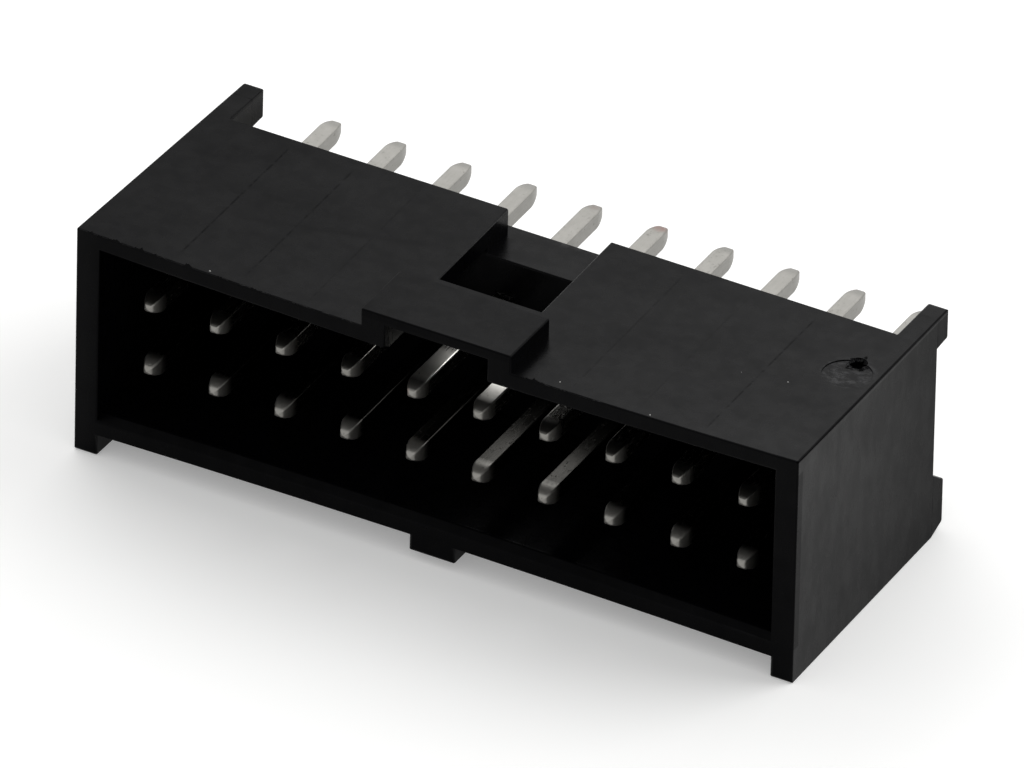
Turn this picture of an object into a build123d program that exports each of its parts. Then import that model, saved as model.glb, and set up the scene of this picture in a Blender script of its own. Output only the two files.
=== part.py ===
from build123d import *
import os
from math import radians, tan

# Shrouded two-row pin header, in millimetres, lying on its side as it rests.
# X runs along the rows, +Y from the mating mouth to the board and +Z is up.
# The origin is the middle of the contact pattern on the board seating plane.

# Contact pattern
contacts_per_row = 10
pitch = 2.54
row_spacing = 2.54

# Contact, a straight square wire with both ends pointed
contact_width = 0.64
contact_edge_radius = 0.06
tail_length = 2.84
tail_taper_length = 0.75
tail_tip_width = 0.30
mating_recess = 0.62
mating_taper_length = 0.58
mating_tip_width = 0.26
contact_clearance = 0.01

# Housing depths, all measured from the mouth towards the board
seat_depth = 10.89
end_wall_depth = 10.04
long_wall_depth = 8.58
base_thickness = 1.92
base_stand_out = 0.44

# Housing outline, measured from the outer contacts and from the two rows
end_margin = 2.43
side_margin = 2.82
end_wall_thickness = 0.87
end_wall_board_thickness = 0.78
long_wall_thickness = 0.82
lead_in_depth = 0.35
lead_in_rise = 0.22
mould_draft_degrees = 0.75
left_end_lean = 0.22
mouth_bow = 0.22
mouth_bow_below = 0.17

# Feet under the end walls, and the standoffs at their back corners
foot_drop = 0.80
ear_height = 1.15
low_standoff_root = 2.54
low_standoff_tip = 1.67
low_standoff_rise = 0.28

# Polarising bump at the mouth, its key channel, the window behind it and the rib below
bump_width = 5.75
bump_height = 0.70
bump_depth = 2.66
bump_skin = 0.42
key_width = 3.95
window_start = 3.73
window_cut = 1.10
rib_width = 1.75
rib_height = 0.63

# Gate mark on the upper wall near the right end, a shallow dish with the torn gate's pit in it
gate_from_end = 1.19
gate_depth = 5.59
gate_dish_radius = 0.88
gate_dish_sink = 0.05
gate_pit_offset = 0.78
gate_pit_radius = 0.33
gate_pit_sink = 0.32

# Values that follow from the sizes above
half_length = (contacts_per_row - 1) * pitch / 2 + end_margin
half_height = row_spacing / 2 + side_margin
draft = tan(radians(mould_draft_degrees))
foot_level = -half_height - foot_drop
base_back = long_wall_depth + base_stand_out
floor_depth = base_back - base_thickness
window_floor = half_height - window_cut
past_surface = 1.0


def at(depth):
    return depth - seat_depth


def outer_x(side, depth):
    # the left end wall leans in towards the board, beyond the draft that both ends have
    lean = left_end_lean * depth / seat_depth if side < 0 else 0
    return side * (half_length - draft * depth) + lean


def inner_x(side, depth):
    # an end wall thins from the mouth to the board
    thinning = (end_wall_thickness - end_wall_board_thickness) * depth / seat_depth
    return outer_x(side, depth) - side * (end_wall_thickness - thinning)


def outer_z(depth):
    return half_height - draft * depth


def inner_z(depth):
    return outer_z(depth) - long_wall_thickness


def outline(depth, x0, x1, z0, z1, bow=0, bow_below=0):
    # closed outline across the part; a bow draws a long side in at its middle
    y = at(depth)
    corners = [(x0, y, z0), (x1, y, z0), (x1, y, z1), (x0, y, z1)]
    middle = (x0 + x1) / 2
    if bow:
        low = ThreePointArc(corners[0], (middle, y, z0 + bow_below), corners[1])
        high = ThreePointArc(corners[2], (middle, y, z1 - bow), corners[3])
    else:
        low = Line(corners[0], corners[1])
        high = Line(corners[2], corners[3])
    return Wire([low, Line(corners[1], corners[2]), high, Line(corners[3], corners[0])])


def between(near, far):
    return Solid.make_loft([near, far], ruled=True)


def block(x0, x1, depth0, depth1, z0, z1):
    shape = Box(x1 - x0, depth1 - depth0, z1 - z0, align=(Align.MIN, Align.MIN, Align.MIN))
    return Pos(x0, at(depth0), z0) * shape


def across(points, x0, x1):
    # prism along X over an outline of (depth, height) points
    edge = Polyline(*[(x0, at(depth), z) for depth, z in points], close=True)
    return extrude(make_face(edge), amount=x1 - x0, dir=(1, 0, 0))


def shroud():
    x0, x1 = outer_x(-1, 0), outer_x(1, 0)
    near = outline(0, x0, x1, -half_height, half_height, mouth_bow, mouth_bow_below)
    d = long_wall_depth
    far = outline(d, outer_x(-1, d), outer_x(1, d), -outer_z(d), outer_z(d))
    return between(near, far)


def cavity():
    x0, x1 = inner_x(-1, 0), inner_x(1, 0)
    near = outline(0, x0, x1, -inner_z(0), inner_z(0), mouth_bow, mouth_bow_below)
    d = floor_depth
    far = outline(d, inner_x(-1, d), inner_x(1, d), -inner_z(d), inner_z(d))
    return between(near, far)


def lead_in():
    # widens the mouth over and under the rows, by a slope on the rims of the two long walls
    x0, x1 = inner_x(-1, 0), inner_x(1, 0)
    z = inner_z(0) + lead_in_rise
    near = outline(0, x0, x1, -z, z, mouth_bow, mouth_bow_below)
    d = lead_in_depth
    left = 1 - d / floor_depth
    far = outline(d, x0, x1, -inner_z(d), inner_z(d), mouth_bow * left, mouth_bow_below * left)
    return between(near, far)


def end_wall(side):
    # the wall runs on down, and one flat cut then leaves both feet level
    def slice_at(depth):
        x0, x1 = sorted((outer_x(side, depth), inner_x(side, depth)))
        return outline(depth, x0, x1, foot_level - past_surface, outer_z(depth))
    reach = half_length + past_surface
    under_feet = block(-reach, reach, 0, seat_depth, foot_level - 2 * past_surface, foot_level)
    return between(slice_at(0), slice_at(seat_depth)) - under_feet


def base_plinth():
    x0 = inner_x(-1, base_back) - end_wall_board_thickness / 2
    x1 = inner_x(1, base_back) + end_wall_board_thickness / 2
    return block(x0, x1, floor_depth, base_back, -window_floor, window_floor)


def standoff_cut():
    # what is cut from the back of the end walls, to leave an ear above and a foot below
    ear_bottom = outer_z(end_wall_depth) - ear_height
    back = seat_depth + past_surface
    gap = [
        (end_wall_depth, ear_bottom),
        (back, ear_bottom),
        (back, foot_level + low_standoff_rise + low_standoff_tip),
        (seat_depth, foot_level + low_standoff_rise + low_standoff_tip),
        (end_wall_depth, foot_level + low_standoff_root),
    ]
    below = [
        (end_wall_depth, foot_level),
        (seat_depth, foot_level + low_standoff_rise),
        (back, foot_level + low_standoff_rise),
        (back, foot_level - past_surface),
        (end_wall_depth, foot_level - past_surface),
    ]
    reach = half_length + past_surface
    return across(gap, -reach, reach) + across(below, -reach, reach)


def key_bump():
    top = half_height - mouth_bow + bump_height
    return block(-bump_width / 2, bump_width / 2, 0, bump_depth, inner_z(0) - mouth_bow, top)


def key_channel():
    ceiling = half_height - mouth_bow + bump_height - bump_skin
    channel_end = bump_depth - bump_skin
    return block(-key_width / 2, key_width / 2, -past_surface, channel_end, 0, ceiling)


def window():
    top = half_height + past_surface
    end = long_wall_depth
    return block(-key_width / 2, key_width / 2, window_start, end + past_surface, window_floor, top)


def centre_rib():
    low = -half_height + mouth_bow_below - rib_height
    return block(-rib_width / 2, rib_width / 2, 0, long_wall_depth, low, -inner_z(floor_depth))


def gate_mark():
    x = half_length - gate_from_end
    top = outer_z(gate_depth)
    dish = Pos(x, at(gate_depth), top) * Cylinder(gate_dish_radius, 2 * gate_dish_sink)
    pit = Pos(x, at(gate_depth + gate_pit_offset), top) * Cylinder(gate_pit_radius, 2 * gate_pit_sink)
    return dish + pit


def contact_places():
    # the upper row is a, the lower row is b, and both are numbered from the left
    for row, z in (("a", row_spacing / 2), ("b", -row_spacing / 2)):
        for index in range(contacts_per_row):
            x = (index - (contacts_per_row - 1) / 2) * pitch
            yield f"contact_{row}{index + 1:02d}", x, z


def contact_holes():
    width = contact_width + 2 * contact_clearance
    depth0 = floor_depth - past_surface
    depth1 = base_back + past_surface
    return [
        block(x - width / 2, x + width / 2, depth0, depth1, z - width / 2, z + width / 2)
        for _, x, z in contact_places()
    ]


def housing():
    body = shroud() + key_bump() + centre_rib()
    body -= cavity() + lead_in()
    body += base_plinth()
    body += end_wall(-1) + end_wall(1)
    body -= standoff_cut() + key_channel() + window() + gate_mark()
    body -= contact_holes()
    return body


def contact():
    # the wire's middle line is on X = Z = 0, and it is moved to its place afterwards
    tip = at(mating_recess)
    length = tail_length - tip
    half = contact_width / 2
    wire = Pos(-half, tip, -half) * Box(
        contact_width, length, contact_width, align=(Align.MIN, Align.MIN, Align.MIN)
    )
    wire = fillet(wire.edges().filter_by(Axis.Y), contact_edge_radius)
    return wire & point(tip, mating_taper_length, mating_tip_width, 1) & point(
        tail_length, tail_taper_length, tail_tip_width, -1
    )


def point(tip, taper, tip_width, inward):
    # everything behind a tip: a pyramid's frustum that widens to clear the wire, then goes on
    slope = (contact_width - tip_width) / 2 / taper
    run = tail_length + seat_depth
    grown = tip_width / 2 + slope * run
    small = tip_width / 2
    near = square_ring(tip, small)
    far = square_ring(tip + inward * run, grown)
    return Solid.make_loft([near, far], ruled=True)


def square_ring(y, half):
    ring = [(-half, y, -half), (half, y, -half), (half, y, half), (-half, y, half)]
    return Wire.make_polygon(ring, close=True)


os.makedirs("parts", exist_ok=True)
export_step(housing(), "parts/housing.step")
straight_contact = contact()
for name, x, z in contact_places():
    export_step(Pos(x, 0, z) * straight_contact, f"parts/{name}.step")
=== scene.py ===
import math
import bmesh
import bpy
import numpy as np
from mathutils import Matrix, Vector


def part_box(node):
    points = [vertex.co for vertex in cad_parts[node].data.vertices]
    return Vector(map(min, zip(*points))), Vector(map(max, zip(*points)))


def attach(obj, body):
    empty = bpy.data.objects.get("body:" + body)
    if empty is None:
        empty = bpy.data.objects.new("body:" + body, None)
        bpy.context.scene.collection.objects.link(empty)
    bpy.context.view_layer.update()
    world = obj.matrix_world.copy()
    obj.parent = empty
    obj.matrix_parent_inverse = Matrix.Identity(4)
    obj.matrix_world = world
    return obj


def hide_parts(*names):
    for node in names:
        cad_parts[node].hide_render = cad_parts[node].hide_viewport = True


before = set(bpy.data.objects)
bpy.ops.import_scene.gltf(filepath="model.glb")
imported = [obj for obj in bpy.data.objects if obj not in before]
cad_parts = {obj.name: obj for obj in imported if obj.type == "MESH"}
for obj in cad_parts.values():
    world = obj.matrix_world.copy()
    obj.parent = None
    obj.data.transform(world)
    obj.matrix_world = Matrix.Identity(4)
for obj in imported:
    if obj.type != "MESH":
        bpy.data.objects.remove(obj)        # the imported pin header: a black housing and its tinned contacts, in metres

mm = 0.001
scene = bpy.context.scene
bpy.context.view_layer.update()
print("frame loaded:", len(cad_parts), "nodes")

# Places that the pieces below share, read from the frame; depth is measured from the mouth
housingLow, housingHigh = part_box("housing")
tailLow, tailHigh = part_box("contact_a01")
mouthY = housingLow.y
halfLength = housingHigh.x
floorZ = housingLow.z
bumpRise = 0.70 * mm          # how far the polarising bump stands above the rim's middle
mouthBow = 0.22 * mm          # how far the rim's upper side is drawn in at its middle
topZ = housingHigh.z - bumpRise + mouthBow     # the housing's upper corners at the mouth
draft = math.tan(math.radians(0.75))           # how much the walls taper towards the board
longWallDepth = 8.58 * mm     # where the upper and lower walls end
baseDepth = 7.10 * mm         # where the shroud's base begins, inside it
pitch = 2.54 * mm             # between neighbouring contacts, and between the two rows
gateX, gateDepth = halfLength - 1.19 * mm, 5.59 * mm     # middle of the gate's dish
pitDepth = gateDepth + 0.78 * mm                         # the torn pit behind it
noiseRange = (0.3, 0.7)       # nearly all of a noise's values lie between these


def linearOf(code):
    # sRGB hex to the linear values that the shaders take
    parts = [int(code[i:i + 2], 16) / 255 for i in (1, 3, 5)]
    return [c / 12.92 if c <= 0.04045 else ((c + 0.055) / 1.055) ** 2.4 for c in parts] + [1.0]


def addNode(tree, kind, values=None, links=None, **settings):
    # one node with its settings, its socket values and the links that come into it
    node = tree.nodes.new(kind)
    for name, value in settings.items():
        setattr(node, name, value)
    for key, value in (values or {}).items():
        node.inputs[key].default_value = value
    for key, source in (links or {}).items():
        tree.links.new(source, node.inputs[key])
    return node


def calc(tree, operation, *items):
    # one step of arithmetic on sockets or numbers
    node = addNode(tree, "ShaderNodeMath", operation=operation)
    for index, item in enumerate(items):
        if isinstance(item, (int, float)):
            node.inputs[index].default_value = item
        else:
            tree.links.new(item, node.inputs[index])
    return node.outputs[0]


def spread(tree, value, low, high, toLow=0.0, toHigh=1.0):
    # carries low..high over to toLow..toHigh, with both ends held
    ends = {1: low, 2: high, 3: toLow, 4: toHigh}
    return addNode(tree, "ShaderNodeMapRange", ends, {0: value}).outputs[0]


def noise(tree, place, size, stretch=(1, 1, 1), detail=3.0, rough=0.6):
    # cloud pattern whose blobs are about one size wide, longer along an axis by its stretch
    moved = addNode(tree, "ShaderNodeMapping", {"Scale": [1 / s for s in stretch]}, {"Vector": place})
    return addNode(tree, "ShaderNodeTexNoise", {"Scale": 1 / size, "Detail": detail, "Roughness": rough},
                   {"Vector": moved.outputs[0]}).outputs["Fac"]


def blend(tree, factor, first, second):
    # mix of two colours, each a hex code or a socket
    node = addNode(tree, "ShaderNodeMix", data_type="RGBA", links={"Factor": factor})
    for index, item in ((6, first), (7, second)):
        if isinstance(item, str):
            node.inputs[index].default_value = linearOf(item)
        else:
            tree.links.new(item, node.inputs[index])
    return node.outputs[2]


def newTree(name):
    # a material and its empty node tree
    material = bpy.data.materials.new(name)
    material.use_nodes = True
    material.node_tree.nodes.clear()
    return material, material.node_tree


def newPiece(name, points, faces, material):
    # a mesh of one material that belongs to the part
    mesh = bpy.data.meshes.new(name)
    mesh.from_pydata(np.asarray(points).reshape(-1, 3).tolist(), [], faces)
    mesh.materials.append(material)
    piece = bpy.data.objects.new(name, mesh)
    scene.collection.objects.link(piece)
    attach(piece, "root")
    return piece


def ringFaces(rings, count, closed=False):
    # quads between neighbouring rings of points, with flat caps at both ends unless they close up
    i, j = np.meshgrid(np.arange(rings if closed else rings - 1), np.arange(count), indexing="ij")
    k, n = (j + 1) % count, (i + 1) % rings
    faces = np.stack([i * count + j, i * count + k, n * count + k, n * count + j], axis=2)
    faces = faces.reshape(-1, 4).tolist()
    if not closed:
        faces += [list(range(count - 1, -1, -1)), list(range((rings - 1) * count, rings * count))]
    return faces


def topHeight(x, depth):
    # height of the upper wall's outer face: drafted towards the board, bowed in at the mouth
    bow = mouthBow * (1 - (x / halfLength) ** 2) * np.clip(1 - depth / longWallDepth, 0, 1)
    return topZ - draft * depth - bow


def ragged(count, seed, smooth):
    # uneven run of numbers from 0 to 1: the running mean of seeded random ones
    values = np.random.default_rng(seed).random(count + smooth)
    run = np.convolve(values, np.ones(smooth) / smooth, mode="valid")[:count]
    return (run - run.min()) / (run.max() - run.min())


# Camera: the photograph's view, far off with a long lens
camera = {
    "azimuth": 28.349, "elevation": 33.871, "roll": 1.277,
    "distance": 1.0201, "pixelsPerMetre": 29656.8,
    "aimDepth": 5.0 * mm, "aimRight": 0.2107 * mm, "aimUp": -0.3274 * mm,
    "imageWidth": 1024, "sensor": 36.0, "clipStart": 0.05, "clipEnd": 20.0,
}


def makeCamera(c):
    # turned round the part by the azimuth and up by the elevation, then rolled about its own axis
    a, e, r = (math.radians(c[k]) for k in ("azimuth", "elevation", "roll"))
    back = Vector((math.sin(a) * math.cos(e), -math.cos(a) * math.cos(e), math.sin(e)))
    right = Vector((math.cos(a), math.sin(a), 0.0))
    up = back.cross(right)
    right, up = math.cos(r) * right + math.sin(r) * up, math.cos(r) * up - math.sin(r) * right
    aim = Vector((0.0, mouthY + c["aimDepth"], 0.0)) + c["aimRight"] * right + c["aimUp"] * up
    place = aim + c["distance"] * back
    data = bpy.data.cameras.new("photoView")
    data.sensor_width = c["sensor"]
    data.lens = c["pixelsPerMetre"] * c["distance"] / c["imageWidth"] * c["sensor"]
    data.clip_start, data.clip_end = c["clipStart"], c["clipEnd"]
    seen = bpy.data.objects.new("photoView", data)
    scene.collection.objects.link(seen)
    seen.matrix_world = Matrix((
        (right.x, up.x, back.x, place.x),
        (right.y, up.y, back.y, place.y),
        (right.z, up.z, back.z, place.z),
        (0, 0, 0, 1)))
    scene.camera = seen


makeCamera(camera)
print("camera set")

# Studio: a pale floor, a white surround and soft lamps behind the part, as in a catalogue shot
studio = {
    "floorColor": "#f4f4f3", "floorSize": 6.0, "floorLift": 0.26,
    "surroundFill": 0.56,
    "lamps": [
        # name, direction from the part, distance, width, height, radiance
        ("backSoftbox", (-0.20, 0.78, 0.60), 0.22, 0.16, 0.12, 1.1),
        ("rightSoftbox", (0.75, 0.60, 0.90), 0.30, 0.20, 0.20, 2.6),
        ("leftSoftbox", (-0.90, 0.50, 1.00), 0.30, 0.20, 0.20, 1.6),
    ],
}


def whiteSeen(tree):
    # 1 for camera, glossy and transmission rays, which see the background as white
    path = addNode(tree, "ShaderNodeLightPath")
    seen = calc(tree, "MAXIMUM", path.outputs["Is Camera Ray"], path.outputs["Is Glossy Ray"])
    return calc(tree, "MAXIMUM", seen, path.outputs["Is Transmission Ray"])


def makeStudio(s):
    # the floor, the surround and the lamps, whose energy is what gives their face its radiance
    half = s["floorSize"] / 2
    mesh = bpy.data.meshes.new("floor")
    corners = [(-half, -half, floorZ), (half, -half, floorZ), (half, half, floorZ), (-half, half, floorZ)]
    mesh.from_pydata(corners, [], [(0, 1, 2, 3)])
    floor = bpy.data.objects.new("floor", mesh)
    scene.collection.objects.link(floor)

    paper, tree = newTree("whiteFloorPaper")
    matt = addNode(tree, "ShaderNodeBsdfDiffuse", {"Color": linearOf(s["floorColor"])})
    lift = calc(tree, "MULTIPLY", whiteSeen(tree), s["floorLift"])
    glow = addNode(tree, "ShaderNodeEmission", {"Color": (1, 1, 1, 1)}, {"Strength": lift})
    both = addNode(tree, "ShaderNodeAddShader", links={0: matt.outputs[0], 1: glow.outputs[0]})
    addNode(tree, "ShaderNodeOutputMaterial", links={"Surface": both.outputs[0]})
    mesh.materials.append(paper)

    world = bpy.data.worlds.new("studioSurround")
    scene.world = world
    world.use_nodes = True
    tree = world.node_tree
    tree.nodes.clear()
    fill = addNode(tree, "ShaderNodeBackground", {"Color": (1, 1, 1, 1), "Strength": s["surroundFill"]})
    white = addNode(tree, "ShaderNodeBackground", {"Color": (1, 1, 1, 1), "Strength": 1.0})
    mix = addNode(tree, "ShaderNodeMixShader",
                  links={0: whiteSeen(tree), 1: fill.outputs[0], 2: white.outputs[0]})
    addNode(tree, "ShaderNodeOutputWorld", links={"Surface": mix.outputs[0]})

    for name, direction, distance, width, height, radiance in s["lamps"]:
        data = bpy.data.lights.new(name, "AREA")
        data.shape = "RECTANGLE"
        data.size, data.size_y = width, height
        data.energy = radiance * math.pi * width * height
        lamp = bpy.data.objects.new(name, data)
        toLamp = Vector(direction).normalized()
        lamp.location = toLamp * distance
        lamp.rotation_euler = toLamp.to_track_quat("Z", "Y").to_euler()
        scene.collection.objects.link(lamp)
    scene.view_settings.view_transform = "Standard"


makeStudio(studio)
print("studio set")

# Housing plastic: glass-filled nylon, moulded in a fine-blasted tool, so a deep satin black
plastic = {
    "dark": "#020203", "light": "#040405", "scuff": "#242426",
    "roughness": (0.23, 0.33), "specular": 0.052, "mottle": 0.20,
    "cloudSize": 2.2 * mm, "cloudStretch": (2.0, 1.0, 1.0), "cloudShare": 0.6,
    "blotchSize": 0.6 * mm, "blotchStretch": (1.0, 1.0, 2.5),
    "grainSize": 0.09 * mm, "grainHeight": 0.0016 * mm,
    # painted sheen: shares of the gloss that each face keeps, fitted to the photograph in place of
    # differences in the light, and how far the faces reach
    "topSheen": (0.57, 1.12), "endSheen": (1.22, 0.34),     # left to right, and mouth to board
    "bumpSheen": 0.84, "rimSheen": (0.84, 0.66),            # the rim's from its left end inwards
    "leadInSheen": 0.56, "edgeSheen": 0.25,
    "topReach": 0.25 * mm, "endReach": 0.45 * mm, "bumpFoot": 0.20 * mm, "edgeReach": 0.07 * mm,
    "rimSkin": 0.02 * mm, "rimFade": (0.3 * mm, 0.8 * mm),
    "leadInDepth": 0.37 * mm, "leadInTop": 3.53 * mm,
    # hair-fine lines: place across in mm and strength, then how deep and how far they run
    "insertLines": ((-10.16, 1.0), (-7.62, 0.9), (-5.08, 0.45), (5.08, 0.5), (7.62, 0.3), (10.16, 0.9)),
    "lineWidth": 0.055 * mm, "lineDepth": 0.0030 * mm, "lineDulls": 0.6,
    "lineMiddle": 4.2 * mm, "lineHalf": 3.9 * mm, "lineFade": 0.1,
    "earLineDepth": 10.04 * mm, "earLine": 0.7,
    "breakSize": 0.35 * mm, "breaks": (0.36, 0.56),
    # scrapes in the gate's dish and on the base strip's back edge
    "scuffRadii": (0.765 * mm, 1.02 * mm), "scuffOffset": 0.15 * mm, "scuffBehind": 0.55,
    "scuffSize": 0.22 * mm, "scuffStretch": (1.8, 1.0, 1.0), "scuffGaps": (0.46, 0.72),
    "scuffHeight": 0.010 * mm, "scuffGloss": 0.08, "nearTop": 0.5 * mm,
    "stripHalf": 1.97 * mm, "stripDepth": 9.0 * mm, "stripHeight": 3.0 * mm,
    "stripReach": 0.30 * mm, "stripScuff": 0.8,
    # the dull band, taken for a seam where two fronts of the melt met
    "flowSlope": 0.29, "flowDepth": 6.28 * mm, "flowWidth": 0.30 * mm,
    "flowMiddle": -6.2 * mm, "flowHalf": 4.0 * mm, "flowFade": 0.3, "flowDulls": 0.3,
}


def near(tree, axis, middle, reach):
    # 1 at one place on an axis, fading to 0 a reach away on both sides
    away = calc(tree, "ABSOLUTE", calc(tree, "SUBTRACT", axis, middle))
    return spread(tree, away, 0.0, reach, 1.0, 0.0)


def insertLines(tree, axes, place, p):
    # hair-fine lines across the upper face, taken for marks of the tool's inserts, and the one round
    # the end walls where their standoffs begin, all broken up by a noise
    x, y, z = axes.outputs
    lines = 0.0
    for lineX, strength in p["insertLines"]:
        line = calc(tree, "MULTIPLY", near(tree, x, lineX * mm, p["lineWidth"]), strength)
        lines = calc(tree, "MAXIMUM", lines, line)
    high = calc(tree, "GREATER_THAN", z, topZ - p["nearTop"])
    along = near(tree, y, mouthY + p["lineMiddle"], p["lineHalf"])
    along = spread(tree, along, 0.0, p["lineFade"])
    lines = calc(tree, "MULTIPLY", calc(tree, "MULTIPLY", lines, high), along)
    ear = near(tree, y, mouthY + p["earLineDepth"], p["lineWidth"])
    lines = calc(tree, "MAXIMUM", lines, calc(tree, "MULTIPLY", ear, p["earLine"]))
    broken = spread(tree, noise(tree, place, p["breakSize"], detail=2.0), *p["breaks"])
    return calc(tree, "MULTIPLY", lines, broken)


def flowBand(tree, axes, p):
    # the dull slanted band on the upper face's left half
    x, y, z = axes.outputs
    slanted = calc(tree, "MULTIPLY_ADD", x, -p["flowSlope"], y)
    band = near(tree, slanted, mouthY + p["flowDepth"], p["flowWidth"])
    reach = spread(tree, near(tree, x, p["flowMiddle"], p["flowHalf"]), 0.0, p["flowFade"])
    return calc(tree, "MULTIPLY", band, reach)


def scuffMask(tree, axes, place, p):
    # where the surface is scraped: in the dish round the gate, most of all on its side towards the
    # mouth, and along the base strip's back edge
    x, y, z = axes.outputs
    fromGate = addNode(tree, "ShaderNodeCombineXYZ", links={
        0: calc(tree, "SUBTRACT", x, gateX),
        1: calc(tree, "SUBTRACT", y, mouthY + gateDepth + p["scuffOffset"])})
    reach = addNode(tree, "ShaderNodeVectorMath", operation="LENGTH", links={0: fromGate.outputs[0]})
    high = calc(tree, "GREATER_THAN", z, topZ - p["nearTop"])
    dish = spread(tree, reach.outputs["Value"], *p["scuffRadii"], 1.0, 0.0)
    front = spread(tree, y, mouthY + gateDepth, mouthY + pitDepth, 1.0, p["scuffBehind"])
    dish = calc(tree, "MULTIPLY", calc(tree, "MULTIPLY", high, dish), front)
    strip = calc(tree, "MULTIPLY", near(tree, x, 0.0, p["stripHalf"]),
                 near(tree, y, mouthY + p["stripDepth"], p["stripReach"]))
    strip = calc(tree, "MULTIPLY", strip, near(tree, z, p["stripHeight"], p["stripReach"]))
    mask = calc(tree, "MAXIMUM", dish, calc(tree, "MULTIPLY", strip, p["stripScuff"]))
    scraped = noise(tree, place, p["scuffSize"], p["scuffStretch"], detail=4.0, rough=0.7)
    return calc(tree, "MULTIPLY", mask, spread(tree, scraped, *p["scuffGaps"]))


def paintedSheen(tree, axes, p):
    # painted sheen and painted shade in the gloss: shares of the gloss by place, fitted to the photograph's
    # tones and not to a known finish, standing in for differences in the light: more to the right on the
    # upper face and at the mouth on the end walls' outer faces, less on the bump, the rim and the lead-in,
    # and a painted dark line along the end walls' upper edges
    x, y, z = axes.outputs
    rim = calc(tree, "LESS_THAN", y, mouthY + p["rimSkin"])
    offRim = calc(tree, "SUBTRACT", 1.0, rim)
    high = calc(tree, "MULTIPLY", calc(tree, "GREATER_THAN", z, topZ - p["topReach"]), offRim)
    out = calc(tree, "GREATER_THAN", calc(tree, "ABSOLUTE", x), halfLength - p["endReach"])
    out = calc(tree, "MULTIPLY", out, calc(tree, "SUBTRACT", 1.0, calc(tree, "MAXIMUM", high, rim)))
    drawnIn = calc(tree, "MULTIPLY", calc(tree, "SUBTRACT", y, mouthY), draft)
    # painted shade: the gloss drops to a dark line along the end walls' upper outer edges
    endEdge = calc(tree, "MULTIPLY",
                   calc(tree, "GREATER_THAN", calc(tree, "ADD", x, drawnIn), halfLength - p["edgeReach"]),
                   calc(tree, "GREATER_THAN", calc(tree, "ADD", z, drawnIn), topZ - p["edgeReach"]))
    bump = calc(tree, "GREATER_THAN", z, topZ + p["bumpFoot"])
    leadIn = calc(tree, "MULTIPLY", calc(tree, "LESS_THAN", y, mouthY + p["leadInDepth"]), offRim)
    between = calc(tree, "LESS_THAN", calc(tree, "ABSOLUTE", z), p["leadInTop"])
    leadIn = calc(tree, "MULTIPLY", leadIn, between)
    fromLeft = [inwards - halfLength for inwards in p["rimFade"]]
    total = 1.0
    for mask, share in (
        (high, spread(tree, x, -halfLength, halfLength, *p["topSheen"])),
        (out, spread(tree, y, mouthY, 0.0, *p["endSheen"])),
        (rim, spread(tree, x, *fromLeft, *p["rimSheen"])),
        (bump, p["bumpSheen"]),
        (leadIn, p["leadInSheen"]),
        (endEdge, p["edgeSheen"]),
    ):
        # where the mask is 1 the total is multiplied by the share
        less = calc(tree, "MULTIPLY_ADD", mask, calc(tree, "SUBTRACT", share, 1.0), 1.0)
        total = calc(tree, "MULTIPLY", total, less)
    return total


def plasticMaterial(name, p):
    # the colour is nearly even, and most of what shows is the gloss: its mottle and its painted sheen
    material, tree = newTree(name)
    place = addNode(tree, "ShaderNodeTexCoord").outputs["Object"]
    axes = addNode(tree, "ShaderNodeSeparateXYZ", links={0: place})
    clouds = noise(tree, place, p["cloudSize"], p["cloudStretch"], detail=4.0)
    blotches = noise(tree, place, p["blotchSize"], p["blotchStretch"])
    grain = noise(tree, place, p["grainSize"], detail=2.0, rough=0.7)
    lines = insertLines(tree, axes, place, p)
    scuffs = scuffMask(tree, axes, place, p)

    mixed = calc(tree, "ADD", calc(tree, "MULTIPLY", clouds, p["cloudShare"]),
                 calc(tree, "MULTIPLY", blotches, 1 - p["cloudShare"]))
    color = blend(tree, scuffs, blend(tree, mixed, p["dark"], p["light"]), p["scuff"])
    low, high = p["specular"] * (1 - p["mottle"]), p["specular"] * (1 + p["mottle"])
    # the gloss is scaled by place with the painted sheen and painted shade
    gloss = calc(tree, "MULTIPLY", spread(tree, mixed, *noiseRange, low, high), paintedSheen(tree, axes, p))
    flow = calc(tree, "MULTIPLY", flowBand(tree, axes, p), calc(tree, "MULTIPLY", blotches, p["flowDulls"]))
    duller = calc(tree, "MAXIMUM", flow, calc(tree, "MULTIPLY", lines, p["lineDulls"]))
    gloss = calc(tree, "MULTIPLY", gloss, calc(tree, "SUBTRACT", 1.0, duller))
    gloss = calc(tree, "ADD", gloss, calc(tree, "MULTIPLY", scuffs, p["scuffGloss"]))
    rough = spread(tree, blotches, *noiseRange, p["roughness"][1], p["roughness"][0])

    height = calc(tree, "MULTIPLY", grain, p["grainHeight"])
    height = calc(tree, "SUBTRACT", height, calc(tree, "MULTIPLY", lines, p["lineDepth"]))
    height = calc(tree, "ADD", height, calc(tree, "MULTIPLY", scuffs, p["scuffHeight"]))
    bump = addNode(tree, "ShaderNodeBump", {"Strength": 1.0, "Distance": 1.0}, {"Height": height})
    shader = addNode(tree, "ShaderNodeBsdfPrincipled", links={
        "Base Color": color, "Roughness": rough, "Specular IOR Level": gloss, "Normal": bump.outputs[0]})
    addNode(tree, "ShaderNodeOutputMaterial", links={"Surface": shader.outputs[0]})
    return material


blackPlastic = plasticMaterial("satinBlackGlassFilledPlastic", plastic)

# Housing: the solid's own mesh with its sharp edges rounded, as they leave the mould
softEdges = {
    "radius": 0.12 * mm, "otherShare": 0.46, "segments": 3,
    "sharpest": math.radians(25), "shortest": 0.15 * mm, "narrowest": 0.2 * mm ** 2,
    "step": 0.035 * mm, "merge": 0.0001 * mm, "weld": 0.004 * mm, "flat": math.radians(0.05),
    "gateReach": 1.6 * mm, "gateEdge": 2.0 * mm,
    "standoffDepth": 10.3 * mm, "footBelow": 0.1 * mm, "across": 0.7, "backFacing": 0.9,
}


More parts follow.
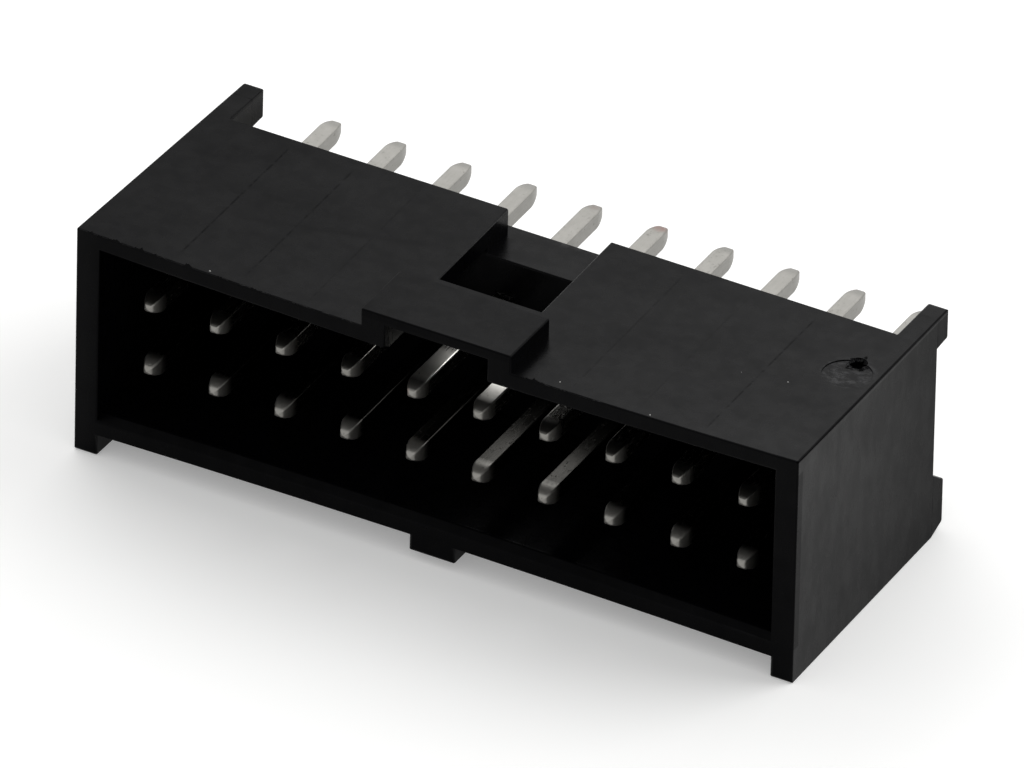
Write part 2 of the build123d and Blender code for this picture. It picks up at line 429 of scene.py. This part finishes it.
def softenedHousing(e):
    work = bmesh.new()
    work.from_mesh(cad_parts["housing"].data)
    bmesh.ops.remove_doubles(work, verts=work.verts, dist=e["merge"])
    # the end walls' flat tops are brought down to the bowed wall between them, which leaves no step
    for vert in work.verts:
        level = topHeight(vert.co.x, vert.co.y - mouthY)
        if 0 < vert.co.z - level < e["step"]:
            vert.co.z = level
    bmesh.ops.remove_doubles(work, verts=work.verts, dist=e["weld"])
    bmesh.ops.dissolve_limit(work, angle_limit=e["flat"], verts=work.verts, edges=work.edges)

    # convex edges are rounded: wholly on the standoffs and feet, less elsewhere, and not round the
    # gate, along slivers or where the walls end at the back
    weight = work.edges.layers.float.new("bevel_weight_edge")
    for edge in work.edges:
        middle = (edge.verts[0].co + edge.verts[1].co) / 2
        fromGate = math.hypot(middle.x - gateX, middle.y - mouthY - gateDepth)
        length = edge.calc_length()
        atGate = fromGate < e["gateReach"] and length < e["gateEdge"]
        wide = min(face.calc_area() for face in edge.link_faces) > e["narrowest"]
        sharp = edge.calc_face_angle(0) > e["sharpest"] and edge.is_convex
        standsOut = middle.y > mouthY + e["standoffDepth"] or middle.z < -topZ - e["footBelow"]
        corner = standsOut and abs(edge.verts[0].co.y - edge.verts[1].co.y) < e["across"] * length
        behind = max(face.normal.y for face in edge.link_faces) > e["backFacing"] and not standsOut
        if sharp and wide and length > e["shortest"] and not behind and not atGate:
            edge[weight] = 1.0 if corner else e["otherShare"]
    mesh = bpy.data.meshes.new("softenedHousing")
    work.to_mesh(mesh)
    mesh.shade_smooth()
    mesh.materials.append(blackPlastic)
    mesh.materials.append(blackPlastic)     # the second slot is the rounding's
    piece = bpy.data.objects.new("softenedHousing", mesh)
    scene.collection.objects.link(piece)
    rounding = piece.modifiers.new("roundEdges", "BEVEL")
    rounding.limit_method, rounding.width, rounding.segments = "WEIGHT", e["radius"], e["segments"]
    rounding.use_clamp_overlap, rounding.material = False, 1

    # the rounded mesh is kept, with the rounding told by its slot: where it meets a flat face the
    # shading breaks, so that the flat faces stay flat
    rounded = bpy.data.meshes.new_from_object(piece.evaluated_get(bpy.context.evaluated_depsgraph_get()))
    work.clear()
    work.from_mesh(rounded)
    for edge in work.edges:
        kinds = {face.material_index for face in edge.link_faces}
        edge.smooth = kinds == {1} or (kinds == {0} and edge.calc_face_angle(0) < e["sharpest"])
    work.to_mesh(rounded)
    work.free()
    piece.modifiers.clear()
    piece.data = rounded
    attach(piece, "root")
    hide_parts("housing")


softenedHousing(softEdges)
print("housing finished")

# Contacts: drawn brass wire under matte tin, swaged to a blunt point at both ends
wire = {
    "half": 0.32 * mm, "edgeShare": 0.18, "tipEdgeShare": 0.60,
    "matingPoint": 0.60 * mm, "tailPoint": 0.72 * mm,
    "matingTip": 0.32, "tailTip": 0.46, "tipRound": 0.11 * mm,
    "swell": 1.7, "swellPower": 0.85, "mostTaken": 0.8,
    "pointSteps": 18, "cornerSteps": 6,
}


def pointProfile(reach, tip, w):
    # over a point the half width rises from the tip's share as a blunt curve, 1 - (1 - u)^1.7 to
    # the power 0.85, less what a small round takes off at the very end; the places u close up there
    u = np.linspace(0, 1, w["pointSteps"] + 1) ** w["swell"]
    swell = tip + (1 - tip) * (1 - (1 - u) ** w["swell"]) ** w["swellPower"]
    fromRound = np.clip(1 - u * reach / w["tipRound"], 0, 1)
    taken = w["tipRound"] * (1 - np.sqrt(1 - fromRound ** 2))
    half = w["half"] * swell - np.minimum(taken, w["half"] * swell * w["mostTaken"])
    share = w["edgeShare"] + (w["tipEdgeShare"] - w["edgeShare"]) * (1 - swell)
    return u * reach, half, share


def wirePiece(name, x, z, material, w):
    # rings of a rounded square, each a smaller square grown by a circle, joined along the wire; the
    # normals follow the circle, tilted by the profile's slope
    mating, matingHalf, matingShare = pointProfile(w["matingPoint"], w["matingTip"], w)
    tail, tailHalf, tailShare = pointProfile(w["tailPoint"], w["tailTip"], w)
    along = np.concatenate([tailLow.y + mating, tailHigh.y - tail[::-1]])
    half = np.concatenate([matingHalf, tailHalf[::-1]])
    share = np.concatenate([matingShare, tailShare[::-1]])
    quarter = np.linspace(0, math.pi / 2, w["cornerSteps"])
    turn = np.concatenate([quarter + k * math.pi / 2 for k in range(4)])
    side = np.repeat([(1, 1), (-1, 1), (-1, -1), (1, -1)], w["cornerSteps"], axis=0)
    out = np.column_stack([np.cos(turn), np.sin(turn)])
    flat = (half * (1 - share))[:, None, None] * side + (half * share)[:, None, None] * out
    points = np.empty((len(along), len(turn), 3))
    points[..., 0], points[..., 2] = x + flat[..., 0], z + flat[..., 1]
    points[..., 1] = along[:, None]
    slope = np.gradient(half, along)
    normals = np.empty_like(points)
    normals[..., 0], normals[..., 2] = out[:, 0], out[:, 1]
    normals[..., 1] = -(slope[:, None] * np.abs(flat).max(axis=2) / half[:, None])
    normals /= np.linalg.norm(normals, axis=2, keepdims=True)
    faces = [face[::-1] for face in ringFaces(len(along), len(turn))]
    piece = newPiece(name, points, faces, material)
    piece.data.shade_smooth()
    piece.data.normals_split_custom_set_from_vertices(normals.reshape(-1, 3).tolist())
    return piece


# Tin: a matte plating over drawn brass, so long faint streaks, small pits and a soft grey shine
tin = {
    "bright": "#918f8b", "dull": "#7d7c77", "pit": "#56544e", "stain": "#86645c", "shade": "#1b1a18",
    "patchSize": 0.45 * mm, "roughness": (0.19, 0.29),
    "streakSize": 0.05 * mm, "drawLength": 18.0, "streakHeight": 0.0010 * mm,
    "pitSize": 0.14 * mm, "pits": (0.62, 0.74), "pitShare": 0.4, "pitSink": 0.004 * mm, "pitRoughness": 0.1,
    # tones set by place: where the points end, and how dark the wires and facets are
    "pointEnd": (1.10 * mm, 1.45 * mm), "pointRoughness": 0.16, "lowerShade": 0.86,
    "bluntHalf": 0.11 * mm, "facetEdge": 0.03 * mm, "facetShade": 0.80, "middleFacets": 0.5,
    # the bright part of the two wires in the middle of the upper row, set by place too
    "lit": "#dddbd5", "litReach": 1.8 * mm, "litAbove": 1.52 * mm,
    "litEnd": (3.06 * mm, 3.6 * mm), "litRoughness": 0.08,
    "stains": (
        # place and reach in mm, and strength
        ((1.27, 2.50, 1.50), 0.34, 0.9),
        ((-1.27, 2.48, 1.45), 0.26, 0.35),
        ((-1.50, -10.2, 1.30), 0.22, 0.5),
    ),
    "stainCore": 0.3, "stainPatches": (0.35, 0.6, 0.4, 1.0),
}


def pointFacets(tree, axes, onPoint, t):
    # the upper facets of the upper row's points, without their blunt ends: where the height over the
    # wire's middle line is more than the distance beside it
    x, y, z = axes.outputs
    aside = calc(tree, "SUBTRACT", calc(tree, "WRAP", x, pitch, 0.0), pitch / 2)
    rise = calc(tree, "SUBTRACT", z, pitch / 2)
    above = calc(tree, "MINIMUM", calc(tree, "SUBTRACT", rise, calc(tree, "ABSOLUTE", aside)),
                 calc(tree, "SUBTRACT", rise, t["bluntHalf"]))
    return calc(tree, "MULTIPLY", spread(tree, above, 0.0, t["facetEdge"], 0.0, t["facetShade"]), onPoint)


def tinMaterial(name, t):
    material, tree = newTree(name)
    place = addNode(tree, "ShaderNodeTexCoord").outputs["Object"]
    streaks = noise(tree, place, t["streakSize"], (1, t["drawLength"], 1))
    patches = noise(tree, place, t["patchSize"], detail=4.0)
    pits = spread(tree, noise(tree, place, t["pitSize"]), *t["pits"])
    color = blend(tree, patches, t["dull"], t["bright"])
    color = blend(tree, calc(tree, "MULTIPLY", pits, t["pitShare"]), color, t["pit"])

    # three tones are set by place and fitted to the photograph's one view: they are taken for
    # reflections that the lamps here don't give, so they hold for that view and not as a finish of
    # the plating. First, the lower row is dark inside, behind its points
    axes = addNode(tree, "ShaderNodeSeparateXYZ", links={0: place})
    x, y, z = axes.outputs
    pointStart, pointStop = (mouthY + depth for depth in t["pointEnd"])
    onPoint = spread(tree, y, pointStart, pointStop, 1.0, 0.0)
    inside = calc(tree, "MULTIPLY", calc(tree, "SUBTRACT", 1.0, onPoint),
                  calc(tree, "LESS_THAN", y, mouthY + baseDepth))
    shade = calc(tree, "MULTIPLY", calc(tree, "LESS_THAN", z, 0.0), t["lowerShade"])
    color = blend(tree, calc(tree, "MULTIPLY", inside, shade), color, t["shade"])

    # second, the upper row's points have dark upper facets, less so on the two in the middle
    middle = calc(tree, "LESS_THAN", calc(tree, "ABSOLUTE", x), t["litReach"])
    facet = calc(tree, "MULTIPLY", pointFacets(tree, axes, onPoint, t),
                 calc(tree, "MULTIPLY_ADD", middle, t["middleFacets"] - 1, 1.0))
    color = blend(tree, facet, color, t["shade"])

    # third, the top faces of those two wires are the brightest of all, in front of the window
    topFace = calc(tree, "GREATER_THAN", z, t["litAbove"])
    lit = calc(tree, "MULTIPLY", calc(tree, "MULTIPLY", middle, inside), topFace)
    litStart, litStop = (mouthY + depth for depth in t["litEnd"])
    lit = calc(tree, "MULTIPLY", lit, spread(tree, y, litStart, litStop, 1.0, 0.0))
    color = blend(tree, lit, color, t["lit"])

    # reddish marks on a few of the points, as in the photograph; what left them isn't known
    for spotPlace, reach, strength in t["stains"]:
        away = addNode(tree, "ShaderNodeVectorMath", {1: Vector(spotPlace) * mm}, {0: place},
                       operation="DISTANCE")
        core = reach * mm * t["stainCore"]
        spot = spread(tree, away.outputs["Value"], core, reach * mm, strength, 0.0)
        spot = calc(tree, "MULTIPLY", spot, spread(tree, patches, *t["stainPatches"]))
        color = blend(tree, spot, color, t["stain"])

    rough = spread(tree, streaks, *noiseRange, *t["roughness"])
    rough = calc(tree, "ADD", rough, calc(tree, "MULTIPLY", pits, t["pitRoughness"]))
    rough = calc(tree, "MULTIPLY_ADD", calc(tree, "SUBTRACT", 1.0, inside), t["pointRoughness"], rough)
    rough = calc(tree, "MULTIPLY_ADD", lit, t["litRoughness"], rough)
    height = calc(tree, "MULTIPLY", streaks, t["streakHeight"])
    height = calc(tree, "SUBTRACT", height, calc(tree, "MULTIPLY", pits, t["pitSink"]))
    bump = addNode(tree, "ShaderNodeBump", {"Strength": 1.0, "Distance": 1.0}, {"Height": height})
    shader = addNode(tree, "ShaderNodeBsdfPrincipled", {"Metallic": 1.0},
                     {"Base Color": color, "Roughness": rough, "Normal": bump.outputs[0]})
    addNode(tree, "ShaderNodeOutputMaterial", links={"Surface": shader.outputs[0]})
    return material


matteTin = tinMaterial("matteTinPlating", tin)
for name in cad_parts:
    if name.startswith("contact_"):
        low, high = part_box(name)
        middleX, middleZ = (low.x + high.x) / 2, (low.z + high.z) / 2
        piece = wirePiece("tinned" + name.title().replace("_", ""), middleX, middleZ, matteTin, wire)
        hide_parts(name)
print("contacts finished")

# Flash: the ragged skin of plastic left along the rim where the two halves of the tool met
flash = {
    "runs": ((-13.75, -3.1, 300, 3), (3.2, 6.6, 90, 11)),     # from and to in mm, places, seed
    "tallest": 0.19 * mm, "least": 0.10, "cutoff": 0.38, "lean": 0.9,
    "thickness": 0.06 * mm, "root": 0.07 * mm, "sunk": 0.03 * mm, "setBack": 0.004 * mm,
    "fadeEnd": 0.05, "fadePower": 0.6,
}


def rimFlash(f):
    # four points at each place along the rim; only the part of a ragged run over its cutoff stands
    # up, as separate nicks, and they die out to the right as a cosine does
    for index, (start, end, count, seed) in enumerate(f["runs"]):
        x = np.linspace(start, end, count) * mm
        fade = np.cos(np.linspace(0.0, math.pi / 2 - f["fadeEnd"], count)) ** f["fadePower"]
        uneven = np.clip(ragged(count, seed, 6) - f["cutoff"], 0, 1) / (1 - f["cutoff"])
        height = f["tallest"] * (f["least"] + (1 - f["least"]) * uneven) * fade
        edge = topHeight(x, 0.0) - f["sunk"]
        front = np.full(count, mouthY + f["setBack"])
        back = front + f["thickness"] * (0.5 + ragged(count, seed + 1, 4))
        points = np.stack([
            np.column_stack([x, front, edge - f["root"]]),
            np.column_stack([x, front, edge + height]),
            np.column_stack([x, (front + back) / 2, edge + height * f["lean"]]),
            np.column_stack([x, back, edge - f["root"]]),
        ], axis=1)
        newPiece(f"rimFlash{index + 1}", points, ringFaces(count, 4), blackPlastic)


rimFlash(flash)
print("flash finished")

# Gate: the torn rim left round the pit where the sprue broke off
gate = {
    "inner": 0.16 * mm, "innerUneven": 0.16 * mm, "outer": 0.44 * mm, "outerUneven": 0.20 * mm,
    "crest": (0.2, 0.7), "tallest": 0.11 * mm, "least": 0.1, "peaks": 1.5,
    "count": 60, "sink": 0.05 * mm, "foot": -0.03 * mm,
}


def gateTear(g):
    # a closed ring round the pit: inner foot, crest and outer foot, of ragged height and width
    count = g["count"]
    turn = np.linspace(0, 2 * math.pi, count, endpoint=False)
    inner = g["inner"] + g["innerUneven"] * ragged(count, 6, 4)
    outer = g["outer"] + g["outerUneven"] * ragged(count, 7, 5)
    nearest, farthest = g["crest"]
    crest = inner + (outer - inner) * (nearest + (farthest - nearest) * ragged(count, 8, 3))
    level = topHeight(np.array([gateX]), pitDepth)[0] - g["sink"]
    height = g["tallest"] * (g["least"] + (1 - g["least"]) * ragged(count, 5, 3) ** g["peaks"])
    foot = np.full(count, g["foot"])
    rings = [
        np.column_stack([
            gateX + radius * np.cos(turn),
            mouthY + pitDepth + radius * np.sin(turn),
            level + lift])
        for radius, lift in ((inner, foot), (crest, height), (outer, foot))
    ]
    faces = ringFaces(count, 3, closed=True)
    newPiece("gateTear", np.stack(rings, axis=1), faces, blackPlastic)


gateTear(gate)
print("gate finished")

# Specks: pale specks on the upper face, taken for chips of moulding dust
specks = {
    "color": "#c9c9c6", "shade": "#8c8c88", "mottleSize": 0.02 * mm, "roughness": 0.8,
    "rings": 6, "sides": 9, "poleTilt": 0.15, "seed": 20, "uneven": 0.3, "flatness": 0.4,
    "places": (
        # x, depth and radius in mm
        (11.19, 4.17, 0.030), (4.55, 0.41, 0.034), (8.13, 0.15, 0.036),
        (-8.79, 0.18, 0.040), (9.55, 3.92, 0.018),
    ),
}


def speckMaterial(name, s):
    # chalky dust with a faint mottle
    material, tree = newTree(name)
    place = addNode(tree, "ShaderNodeTexCoord").outputs["Object"]
    tone = blend(tree, noise(tree, place, s["mottleSize"]), s["color"], s["shade"])
    shader = addNode(tree, "ShaderNodeBsdfPrincipled", {"Roughness": s["roughness"]}, {"Base Color": tone})
    addNode(tree, "ShaderNodeOutputMaterial", links={"Surface": shader.outputs[0]})
    return material


def dustSpecks(s):
    # each chip is a flattened ball, rings of points from pole to pole, whose radius is uneven
    rings, sides = s["rings"], s["sides"]
    points, faces = [], []
    tilt = np.linspace(s["poleTilt"], math.pi - s["poleTilt"], rings)[:, None]
    turn = np.linspace(0, 2 * math.pi, sides, endpoint=False)
    for index, (x, depth, radius) in enumerate(s["places"]):
        bumps = ragged(rings * sides, s["seed"] + index, 2).reshape(rings, sides)
        lump = radius * mm * (1 - s["uneven"] + s["uneven"] * bumps)
        level = topHeight(np.array([x * mm]), depth * mm)[0]
        points.append(np.stack([
            x * mm + lump * np.sin(tilt) * np.cos(turn),
            mouthY + depth * mm + lump * np.sin(tilt) * np.sin(turn),
            level + s["flatness"] * lump * np.cos(tilt)], axis=2).reshape(-1, 3))
        first = rings * sides * index
        faces += [[first + v for v in face[::-1]] for face in ringFaces(rings, sides)]
    dust = speckMaterial("paleMouldingDust", s)
    newPiece("dustSpecks", np.concatenate(points), faces, dust)


dustSpecks(specks)
print("specks finished")
